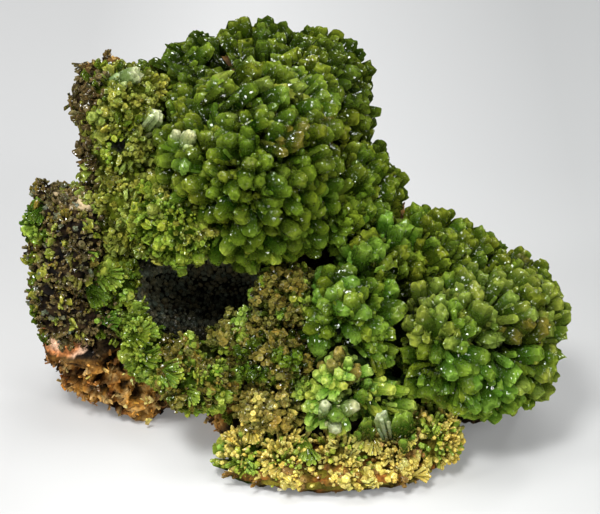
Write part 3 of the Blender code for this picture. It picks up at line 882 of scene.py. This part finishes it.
def crystal_material(
    name, rough=0.05, subsurface=0.15, ior=1.7, level=0.9, clear=0.0, glitter=0.9, mottle=0.5
):
    """Resinous crystal: the mesh's tints with painted shade and highlights, mottled and streaked, small cells
    glittering.
    """
    made, tree, shader = new_material(name)
    tint = from_mesh(tree, "tint", "Color")
    own = from_mesh(tree, "own", "Vector")
    place = in_object(tree)
    fine = noise_node(tree, own, 2.2, 4.0)
    streaks = noise_node(tree, own, 1.0, 4.0, (5.0, 5.0, 0.6))
    cloud = noise_node(tree, place, 260.0, 3.0)
    cells = node(tree, "ShaderNodeTexVoronoi", {"Scale": 2.8, "Vector": own}).outputs["Color"]
    single = node(tree, "ShaderNodeSeparateXYZ", {"Vector": cells}).outputs["X"]
    darker = mixed(tree, ramp(tree, fine, 0.3, 0.7, 0.0, 0.7 * mottle), tint, (0.42, 0.52, 0.3), "MULTIPLY")
    spots = ramp(tree, single, 0.0, 1.0, 0.0, 0.5 * mottle)
    spotted = mixed(tree, spots, darker, (0.5, 0.6, 0.4), "MULTIPLY")
    lighter = mixed(tree, ramp(tree, streaks, 0.5, 0.75, 0.0, 0.4), spotted, (1.5, 1.45, 1.3), "MULTIPLY")
    warm = mixed(tree, ramp(tree, cloud, 0.56, 0.72, 0.0, 0.3), lighter, (1.0, 0.74, 0.4), "MULTIPLY")
    shader.inputs["Subsurface Weight"].default_value = subsurface
    shader.inputs["Subsurface Radius"].default_value = (0.9, 1.2, 0.3)
    shader.inputs["Subsurface Scale"].default_value = 0.001
    shader.inputs["IOR"].default_value = ior
    shader.inputs["Specular IOR Level"].default_value = level
    shader.inputs["Transmission Weight"].default_value = clear
    gloss = ramp(tree, fine, 0.3, 0.7, rough * 0.6, rough * 1.6)
    normal = glittering(tree, bumped(tree, streaks, 0.3, 0.00015), cells, glitter)
    feed(tree, shader, {"Base Color": warm, "Roughness": gloss, "Normal": normal})
    return made


def rock_material(name):
    """Earthy limonite: the mesh's tints, painted shade in the grain's hollows, with rusty dust in patches."""
    made, tree, shader = new_material(name)
    tint = from_mesh(tree, "tint", "Color")
    place = in_object(tree)
    grain = noise_node(tree, place, 1400.0, 5.0)
    patch = noise_node(tree, place, 420.0, 4.0)
    # Painted shade in the grain's hollows, where the bump lies low
    dark = mixed(tree, ramp(tree, grain, 0.35, 0.6, 0.75, 0.0), tint, (0.16, 0.12, 0.1), "MULTIPLY")
    dusty = mixed(tree, ramp(tree, patch, 0.52, 0.68, 0.0, 0.12), dark, (0.42, 0.27, 0.10))
    rough = ramp(tree, grain, 0.3, 0.7, 0.45, 0.975)
    normal = bumped(tree, grain, 0.7, 0.0003)
    feed(tree, shader, {"Base Color": dusty, "Roughness": rough, "Normal": normal})
    shader.inputs["Specular IOR Level"].default_value = 0.12
    return made


# Rock, bed and hollow

def texture(name, kind, size):
    made = bpy.data.textures.new(name, kind)
    made.noise_scale = size * MM
    return made


def step(thing, kind, **values):
    made = thing.modifiers.new(kind.title(), kind)
    for key, value in values.items():
        setattr(made, key, value)
    return made


def applied(thing):
    """Puts the modifiers' result in the mesh."""
    bpy.context.view_layer.update()
    graph = bpy.context.evaluated_depsgraph_get()
    mesh = bpy.data.meshes.new_from_object(thing.evaluated_get(graph))
    thing.modifiers.clear()
    thing.data = mesh
    return mesh


def ellipsoids(name, rows, fineness):
    shape = bmesh.new()
    for centre, radii in rows:
        for corner in bmesh.ops.create_icosphere(shape, subdivisions=fineness, radius=1.0)["verts"]:
            corner.co = Vector(metres(np.array(corner.co) * radii + centre))
    mesh = bpy.data.meshes.new(name)
    shape.to_mesh(mesh)
    shape.free()
    return placed(name, mesh)


def points_of(mesh):
    co = np.empty(len(mesh.vertices) * 3, np.float32)
    mesh.vertices.foreach_get("co", co)
    return co.reshape(-1, 3).astype(float)


def normals_of(mesh):
    normals = np.empty(len(mesh.vertices) * 3, np.float32)
    mesh.vertex_normals.foreach_get("vector", normals)
    return normals.reshape(-1, 3).astype(float)


def set_points(mesh, co):
    mesh.vertices.foreach_set("co", co.astype(np.float32).ravel())
    mesh.update()


def rock_height(p):
    """How far the rock's surface moves out or in at a point, in mm: ledges, boxwork cells and grit."""
    ledge = 1 - 2.2 * abs(noise.noise(Vector((p.x * 0.09, p.y * 0.09, p.z * 0.22))))
    near, places = noise.voronoi(p * 0.25)
    cell = min(1.0, (near[1] - near[0]) / 0.5)
    deep = 1.5 + 1.5 * math.sin(places[0].x * 91.7 + places[0].y * 37.3 + places[0].z * 11.9)
    if p.z < GOSSAN_TOP and p.x < -22:
        box = noise.voronoi(p * 0.34 + Vector((2, 7, 3)))[0]
        cell = min(1.0, (box[1] - box[0]) / 0.3)
        deep = max(deep, 2.2)
    small = noise.voronoi(p * 0.62 + Vector((5, 1, 8)))[0]
    pit = min(1.0, (small[1] - small[0]) / 0.45)
    grit = noise.noise(p * 0.9) * 0.6 + noise.noise(p * 2.3) * 0.3
    rough = 0.6 * ledge - deep * cell * cell - 0.6 * pit + grit + 1.0
    smooth = 0.5 * noise.noise(Vector((p.x * 0.3, p.y * 0.3, p.z * 1.4)))
    if -50 < p.x < -30 and 12.8 < p.z < 16.2 and p.y < 32:
        return smooth + 0.3 * rough
    if p.y < 14 and p.z < 6:
        return 1.2 * smooth + 0.2 * rough
    return rough


def blend(first, second, share):
    share = np.clip(share, 0.0, 1.0)[:, None]
    return first * (1 - share) + second * share


def noise_at(points, scale, offset=(0, 0, 0)):
    offset = Vector(offset)
    return np.array([noise.noise(Vector(p) * scale + offset) for p in points])


def rock_colours(design, height):
    """Black and brown above, orange and ochre low on the left, tan on the top ledge; painted shade in the
    pits.
    """
    x, y, z = design.T
    n = noise_at(design, 0.13)
    fine = noise_at(design, 0.5, (9, 2, 5))
    speck = noise_at(design, 1.6)
    own = {name: linear(tint) for name, tint in ROCK_TINTS.items()}
    # Lighter on the ridges: partly the rock's own colour, partly painted highlight
    colour = blend(own["black"], own["brown"], 1.4 * fine + 0.9 * speck + 0.3 * height - 0.1)
    warm = blend(own["orange"], own["ochre"], 0.4 + 1.4 * n + 1.1 * fine)
    warm = blend(warm, own["light"], 0.6 * height - 0.4 + speck)
    gossan = np.clip((15 - z) / 3, 0, 1) * np.clip((-10 - x) / 6, 0, 1)
    colour = blend(colour, warm, gossan * (0.9 + 1.8 * fine + n))
    top_ledge = within(design, (-39, 31, 43.5), (8, 9, 3))
    colour = blend(colour, own["tan"], top_ledge * (0.7 + 2 * fine + speck))
    banded = blend(own["band"], own["band_light"], 0.4 + 2 * noise_at(design, 0.4)) * 1.3
    band = within(design, (-42.5, 24, 16.2), (5.5, 9, 1.6))
    colour = blend(colour, banded, band * (1.1 + fine))
    front = np.clip((12 - y) / 5, 0, 1) * np.clip((7 - z) / 3, 0, 1)
    crusted = blend(own["front_green"], own["front_brown"], 0.4 + 2 * fine)
    # Painted shadow under the front lip, darker towards the floor
    crusted = crusted * np.clip((z - 0.6) / 2, 0.1, 1)[:, None]
    colour = blend(colour, crusted, front * (0.95 + fine))
    colour = blend(colour, warm * 0.7, np.clip((y - 40) / 8, 0, 1) * (0.35 + 1.2 * n + fine))
    shelf = within(design, (-40, 23, 15.6), (9, 9, 2.2))
    # Painted shade: darker where the surface lies low, in pits and in the hollow; less on the shelf and the
    # front
    deep = np.clip(0.45 - height * 0.8, 0, 0.95) * (1 - front) * (1 - 0.8 * shelf)
    colour = colour * (1 - deep)[:, None]
    # The hollow painted near black: partly its own dark colour, partly painted shade
    return blend(colour, own["hollow"], within(design, HOLLOW_CENTRE, HOLLOW_RADII, 1.25))


def fitted(co):
    """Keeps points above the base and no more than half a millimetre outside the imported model's box."""
    spare = 0.0005
    low = (cad_low.x - spare, cad_low.y - spare, 0.0)
    high = (cad_high.x + spare, cad_high.y + spare, cad_high.z + spare)
    return np.clip(co, low, high)


def build_rock():
    """The limonite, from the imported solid, broken up by ledges, cells and grit. Returns its skin."""
    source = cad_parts["limonite_rock"]
    rock = placed("limonite_matrix", source.data.copy())
    rock.data.materials.clear()
    step(rock, "REMESH", mode="VOXEL", voxel_size=ROCK_VOXEL * MM)
    step(rock, "SMOOTH", factor=0.6, iterations=8)
    mesh = applied(rock)
    co = points_of(mesh)
    design = co / MM - SHIFT
    height = np.array([rock_height(Vector(p)) for p in design])
    hollow = within(design, HOLLOW_CENTRE, HOLLOW_RADII, 1.2)
    height = np.where(hollow, np.minimum(height * 0.4 - 0.7, -0.3), height)
    co = fitted(co + normals_of(mesh) * (height * MM)[:, None])
    set_points(mesh, co)
    mesh.set_sharp_from_angle(angle=math.radians(60))
    colours = rock_colours(design, height)
    write_attribute(mesh, "tint", colours, "FLOAT_COLOR")
    mesh.materials.append(rock_material("limonite_finish"))
    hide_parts("limonite_rock")
    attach(rock, "root")
    return co / MM - SHIFT, normals_of(mesh), colours


def build_crumbs(skin, finish, count=1300):
    """Grit on the rock: grains in its own colours, a few painted glints, thin plates on the orange part."""
    places, normals, colours = skin
    growth = Growth("rock_crumbs")
    chance = random.Random(31)
    seen = (normals @ TO_CAMERA > -0.2) & (places[:, 2] > 1.2)
    seen &= ~within(places, HOLLOW_CENTRE, HOLLOW_RADII, 1.05)
    for _, centre, reach, *_ in SPRAYS:
        seen &= ~within(places, centre, reach, 0.85)
    for i in chance.sample(list(np.flatnonzero(seen)), count):
        place, normal = places[i], normals[i]
        # A few pale grains as painted glints
        if chance.random() > 0.96:
            body = end = linear((214, 206, 184)) * 0.8
        else:
            body = end = vary(chance, colours[i] * chance.uniform(0.4, 2.6), 0.2)
        size = chance.uniform(0.2, 0.45)
        tip = place + normal * chance.uniform(0.1, 0.4)
        axis = unit(normal + scatter(chance, 0.9))
        growth.add("chip", tip, axis, 1.2, size, chance.uniform(0, 2), body, end)
    gossan = seen & (places[:, 2] < GOSSAN_TOP) & (places[:, 0] < -14)
    for i in scattered(chance, places, gossan, 1.3):
        tip = places[i] + normals[i] * chance.uniform(0.2, 0.7)
        shade = vary(chance, colours[i] * chance.uniform(0.6, 1.7), 0.25)
        axis = unit(normals[i] + scatter(chance, 0.9))
        add_leaves(growth, chance, tip, axis, 1.5, chance.uniform(0.5, 1.2), (shade * 0.6, shade), 2)
    made = growth.build(finish, 700)
    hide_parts("limonite_rock")
    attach(made, "root")


def wall_tint(chance, place):
    """Brown and green at the left edge, mostly dark brown in the middle and on top, green on the right."""
    if place[2] > WALL_TOP:
        names = ("bark", "bark", "bark", "mustard")
    elif place[2] > 40:
        names = ("mustard", "mustard", "rim", "bark")
    elif place[0] < -43:
        names = ("rust", "mustard", "rim", "olive")
    elif place[0] < -36:
        names = ("bark", "bark", "rim", "mustard")
    else:
        names = ("fan", "fan", "olive", "mustard", "bark")
    return named_tint(chance, chance.choice(names))


def scattered(chance, places, allowed, spacing):
    """The numbers of some of the allowed places, at least a spacing apart."""
    order = list(np.flatnonzero(allowed))
    chance.shuffle(order)
    taken = np.full((1, 3), 1e9)
    for i in order:
        if np.linalg.norm(taken - places[i], axis=1).min() >= spacing:
            taken = np.append(taken, places[i][None], 0)
            yield i


def build_wall_crystals(skin, finish):
    """Blades, fans, bursts and grains on the rock of the left wall; between them small dark ones and painted
    glints.
    """
    places, normals, _ = skin
    growth = Growth("wall_crystals")
    chance = random.Random(47)
    x, y, z = places.T
    wall = (normals @ TO_CAMERA > -0.3) & (x < WALL_RIGHT) & (y < WALL_BACK)
    wall &= (z > WALL_BOTTOM) & ((z < WALL_TOP) | (x < WALL_TOP_RIGHT))
    wall &= ~within(places, HOLLOW_CENTRE, HOLLOW_RADII, 1.02)
    for i in scattered(chance, places, wall, WALL_SPACING):
        place, normal = places[i], normals[i]
        tip = place + normal * chance.uniform(0.6, 1.5)
        axis = unit(normal + scatter(chance, 0.5))
        habit = chance.choice(("leaves", "grain", "fan", "burst"))
        add_any(growth, chance, habit, tip, axis, 2.6, chance.uniform(1.0, 2.0), wall_tint(chance, place))
    for i in scattered(chance, places, wall, WALL_UNDER_SPACING):
        place, normal = places[i], normals[i]
        tip = place + normal * chance.uniform(0.3, 0.8)
        axis = unit(normal + scatter(chance, 0.8))
        # Pale grey chips among the dark ones are painted glints
        tint = named_tint(chance, "grey" if chance.random() < 0.12 else "bark")
        for _ in range(3):
            lean = scatter(chance)
            small = chance.uniform(0.16, 0.42)
            growth.add("chip", tip + lean * 0.5, axis + lean, 1.1, small, chance.uniform(0, 2), *tint)
    made = growth.build(finish, 650)
    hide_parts("limonite_rock")
    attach(made, "root")


def build_bed(finish):
    """The mass that the crystals stand on, painted dark as the shade between them."""
    rows = []
    for _, centre, reach, kind, *_ in MASS_SPRAYS:
        proud = GROWTHS[kind][2]
        rows.append((centre, [max(r * 0.55, r - proud - 0.3) for r in reach]))
    bed = ellipsoids("crystal_bed", rows, 3)
    step(bed, "REMESH", mode="VOXEL", voxel_size=1.1 * MM)
    cuts = [(HOLLOW_CENTRE, HOLLOW_RADII), (PIT_CENTRE, PIT_RADII)]
    hollow = ellipsoids("hollow_cutter", cuts, 4)
    step(bed, "BOOLEAN", operation="DIFFERENCE", object=hollow)
    step(bed, "DISPLACE", texture=texture("bed", "CLOUDS", 1.4), strength=1.0 * MM, mid_level=0.6)
    mesh = applied(bed)
    bpy.data.objects.remove(hollow)
    co = points_of(mesh)
    co[:, 2] = np.maximum(co[:, 2], 0.0002)
    set_points(mesh, co)
    design = co / MM - SHIFT
    nearest = np.full(len(co), 1e9)
    colour = np.zeros((len(co), 3))
    for _, centre, reach, kind, first, *_ in MASS_SPRAYS:
        away = (((design - centre) / reach) ** 2).sum(1)
        closer = away < nearest
        nearest[closer] = away[closer]
        # Painted shade: the bed is a dark share of its spray's body colour
        colour[closer] = linear(TINTS[first][0]) * BED_PAINTED_SHADE[kind in FINE]
    colour = colour * np.clip(1 + 1.2 * noise_at(design, 0.5), 0.3, 1.7)[:, None]
    # Painted shade inside the pit and around it
    colour[within(design, PIT_CENTRE, PIT_RADII, 1.7)] *= 0.05
    write_attribute(mesh, "tint", colour, "FLOAT_COLOR")
    write_attribute(mesh, "own", co / MM, "FLOAT_VECTOR")
    mesh.materials.clear()
    mesh.materials.append(finish)
    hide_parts("pyromorphite_crystals")
    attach(bed, "root")


def build_druse(finish):
    """Tiny grey crystals that line the back, top and sides of the hollow."""
    growth = Growth("hollow_druse")
    chance = random.Random(77)
    for way in sphere_directions(DRUSE_COUNT):
        at = HOLLOW_CENTRE + way * (HOLLOW_RADII + 0.2)
        if at[1] < DRUSE_FRONT or at[2] < 1:
            continue
        inward = unit(-way / HOLLOW_RADII)
        # Painted light and shade: lighter towards the top, where little light gets in, and darker at the open
        # front edge
        high = min(1.1, max(0.16, 0.25 + (at[2] - 18) * 0.12))
        back = min(1.0, max(0.1, (at[1] - DRUSE_FRONT + 1) / 8))
        body, end = (vary(chance, linear(c) * (high * back), 0.35) for c in TINTS["grey"])
        size = chance.uniform(0.35, 0.8)
        long = chance.uniform(0.7, 1.8)
        tip = at + inward * long * 0.8
        axis = inward + scatter(chance, 0.5)
        growth.add("needle", tip, axis, long + 0.8, size, chance.uniform(0, 3), body, end)
    made = growth.build(finish, 900)
    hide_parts("hollow_crust")
    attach(made, "root")


# Floor, light and camera

TARGET = Vector(metres(VIEW_MIDDLE))
DISTANCE = 0.42
LENS = 144.4
# The sheet, in metres: where it starts to bend up, the bend's radius and steps, its top and half width
BEND_START = 0.55
BEND_RADIUS = 0.5
BEND_STEPS = 12
SHEET_FRONT = -1.2
SHEET_TOP = 2.2
SHEET_HALF = 1.6


def paper_material():
    """Pale paper, painted darker towards the back and both sides as shade, with a faint painted glow."""
    paper, tree, shader = new_material("paper")
    apart = node(tree, "ShaderNodeSeparateXYZ", {"Vector": in_object(tree)}).outputs
    # Painted shade: darker towards the back and both sides, as the light falls off
    front = mixed(tree, ramp(tree, apart["Y"], -0.07, 0.10), (0.74, 0.74, 0.73), (0.62, 0.625, 0.625))
    right = mixed(tree, ramp(tree, apart["X"], -0.02, 0.06), front, (0.67, 0.675, 0.675), "MULTIPLY")
    left = mixed(tree, ramp(tree, apart["X"], -0.01, -0.05), right, (0.78, 0.78, 0.78), "MULTIPLY")
    # Painted glow: the paper gives off a little light of its own, which lifts its shadows
    feed(tree, shader, {"Base Color": left, "Emission Color": left})
    shader.inputs["Emission Strength"].default_value = 0.20
    shader.inputs["Roughness"].default_value = 0.8
    return paper


def build_stage():
    """A pale sheet that runs back and curves up behind the specimen."""
    shape = bmesh.new()
    profile = [(SHEET_FRONT, 0.0), (BEND_START, 0.0)]
    for k in range(1, BEND_STEPS + 1):
        a = math.radians(k * 90 / BEND_STEPS)
        profile.append((BEND_START + BEND_RADIUS * math.sin(a), BEND_RADIUS * (1 - math.cos(a))))
    profile.append((BEND_START + BEND_RADIUS, SHEET_TOP))
    rows = [[shape.verts.new((x, y, z)) for y, z in profile] for x in (-SHEET_HALF, SHEET_HALF)]
    for k in range(len(profile) - 1):
        shape.faces.new((rows[0][k], rows[1][k], rows[1][k + 1], rows[0][k + 1]))
    mesh = bpy.data.meshes.new("floor_sheet")
    shape.to_mesh(mesh)
    shape.free()
    for face in mesh.polygons:
        face.use_smooth = True
    mesh.materials.append(paper_material())
    sheet = placed("floor_sheet", mesh)
    # The bright paper would lie as a grey veil on the dark sides of the crystals
    sheet.visible_glossy = False


def area_light(name, place, size, power, shines=True):
    """A square light towards the specimen. One that doesn't shine brightens, but leaves no highlight."""
    light = bpy.data.lights.new(name, "AREA")
    light.size = size
    light.energy = power
    made = bpy.data.objects.new(name, light)
    made.visible_glossy = shines
    made.location = place
    made.rotation_euler = (TARGET - Vector(place)).to_track_quat("-Z", "Y").to_euler()
    bpy.context.scene.collection.objects.link(made)


def build_lights():
    area_light("key", (-0.15, -0.36, 0.60), 0.26, 1.1, False)
    area_light("spark", (-0.15, -0.36, 0.60), 0.15, 2.8)
    area_light("fill", (0.45, -0.45, 0.35), 0.40, 1.7, False)
    area_light("left", (-0.55, -0.10, 0.40), 0.30, 0.4, False)
    area_light("low", (-0.10, -0.60, 0.16), 0.30, 0.5, False)
    area_light("top", (0.05, 0.10, 0.75), 0.35, 2.0, False)
    area_light("left_glint", (-0.50, -0.20, 0.42), 0.11, 0.8)
    area_light("right_glint", (0.36, -0.50, 0.50), 0.10, 0.55)
    area_light("back_glint", (0.25, 0.30, 0.60), 0.09, 0.50)
    world = bpy.data.worlds.new("room")
    bpy.context.scene.world = world
    world.use_nodes = True
    background = world.node_tree.nodes["Background"]
    background.inputs["Color"].default_value = (0.95, 0.97, 1.0, 1)
    background.inputs["Strength"].default_value = 0.12
    world.cycles_visibility.glossy = False


def build_camera():
    camera = bpy.data.cameras.new("camera")
    camera.lens = LENS
    camera.sensor_width = 36
    camera.clip_start = 0.01
    camera.clip_end = 20
    made = bpy.data.objects.new("camera", camera)
    back = Vector(TO_CAMERA)
    made.location = TARGET + back * DISTANCE
    made.rotation_euler = (-back).to_track_quat("-Z", "Y").to_euler()
    bpy.context.scene.collection.objects.link(made)
    bpy.context.scene.camera = made


def build_crystals(skin):
    green = crystal_material("pyromorphite_finish")
    fine = crystal_material("fine_pyromorphite_finish", level=1.2, glitter=1.1, mottle=0.8)
    light = crystal_material("light_pyromorphite_finish", level=1.2, glitter=1.1, mottle=0.3)
    clear = crystal_material("clear_pyromorphite_finish", rough=0.12, level=0.7, clear=0.06)
    finishes = {"clear_crystals": clear, "ledge_crystals": light}
    build_wall_crystals(skin, fine)
    for number, (name, growth) in enumerate(grow_all().items()):
        finish = finishes.get(name, fine if name in FINE_PIECES else green)
        made = growth.build(finish, 200 + number * 10)
        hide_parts("left_tip_crystals" if name == "left_tip_cluster" else "pyromorphite_crystals")
        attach(made, "root")


def main():
    bpy.context.scene.view_settings.view_transform = "Standard"
    build_camera()
    build_lights()
    build_stage()
    skin = build_rock()
    build_crumbs(skin, crystal_material("crumb_finish", rough=0.3, subsurface=0.0, ior=1.6, level=0.4))
    build_bed(crystal_material("bed_finish", rough=0.6, subsurface=0.0, ior=1.4, level=0.2))
    build_druse(crystal_material("druse_finish", rough=0.2, subsurface=0.0, ior=1.6, level=0.35))
    build_crystals(skin)


main()
